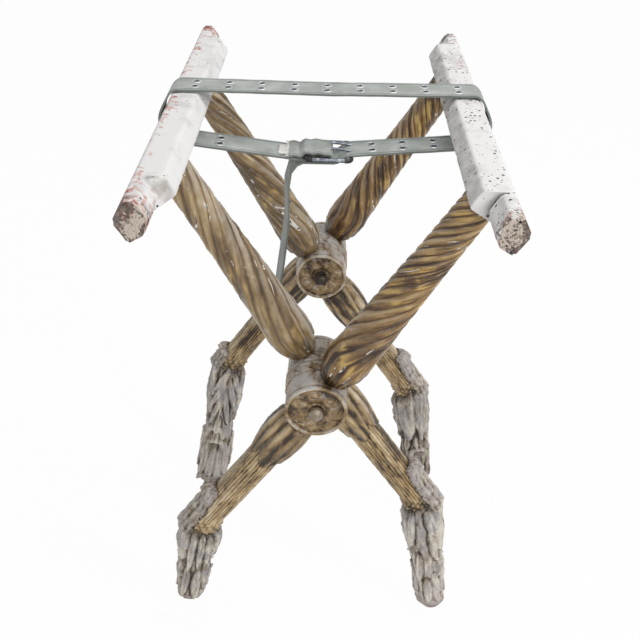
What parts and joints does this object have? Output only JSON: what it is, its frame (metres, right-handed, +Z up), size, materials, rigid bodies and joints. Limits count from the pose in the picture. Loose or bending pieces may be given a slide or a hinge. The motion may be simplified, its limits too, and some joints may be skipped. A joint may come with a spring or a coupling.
{
  "type": "folding stool",
  "caption": "Carved X-frame folding stool without its seat: spiral-fluted arms, rosette hubs, reeded stems and leaf-carved feet under top rails tied by a buckled web belt.",
  "frame": {"origin": "middle of the box round the stool, on the floor under the hub axis", "axes": "+X towards the right rail, +Y away from the front along the rails and the hub axis, +Z up"},
  "size_m": [0.3628, 0.5, 0.671],
  "materials": {
    "worn_gesso": "off-white gesso with worn bole, matte",
    "aged_gilding": "aged water gilding, dark in the flutes",
    "rubbed_gilding": "rubbed gilding",
    "dull_gilding": "dull dusty gilding",
    "grey_ground": "weathered ground, gilding lost",
    "old_iron": "old wrought iron",
    "web_canvas": "woven cotton webbing",
    "blued_steel": "blued steel wire"
  },
  "bodies": {
    "pivots": {"pin_near": "old_iron", "washer_near": "old_iron", "nut_near": "old_iron", "pin_far": "old_iron", "washer_far": "old_iron", "nut_far": "old_iron", "strap": "web_canvas", "buckle_frame": "blued_steel"},
    "right_frame": {"right_rail": "worn_gesso", "right_arm_near": "aged_gilding", "right_knuckle_near": "rubbed_gilding", "right_stem_near": "dull_gilding", "right_foot_near": "grey_ground", "right_arm_far": "aged_gilding", "right_knuckle_far": "rubbed_gilding", "right_stem_far": "dull_gilding", "right_foot_far": "grey_ground"},
    "left_frame": {"left_rail": "worn_gesso", "left_arm_near": "aged_gilding", "left_knuckle_near": "rubbed_gilding", "left_stem_near": "dull_gilding", "left_foot_near": "grey_ground", "left_arm_far": "aged_gilding", "left_knuckle_far": "rubbed_gilding", "left_stem_far": "dull_gilding", "left_foot_far": "grey_ground"}
  },
  "joints": [
    {"name": "right_fold", "type": "hinge", "parent": "pivots", "child": "right_frame", "pos_m": [0, 0, 0.39565], "axis": [0, -1, 0], "range_deg": [0, 19], "deforming": ["strap"]},
    {"name": "left_fold", "type": "hinge", "parent": "pivots", "child": "left_frame", "pos_m": [0, 0, 0.39565], "axis": [0, 1, 0], "range_deg": [0, 19]}
  ],
  "couplings": [
    {"joint": "left_fold", "follows": "right_fold", "ratio": 1}
  ]
}
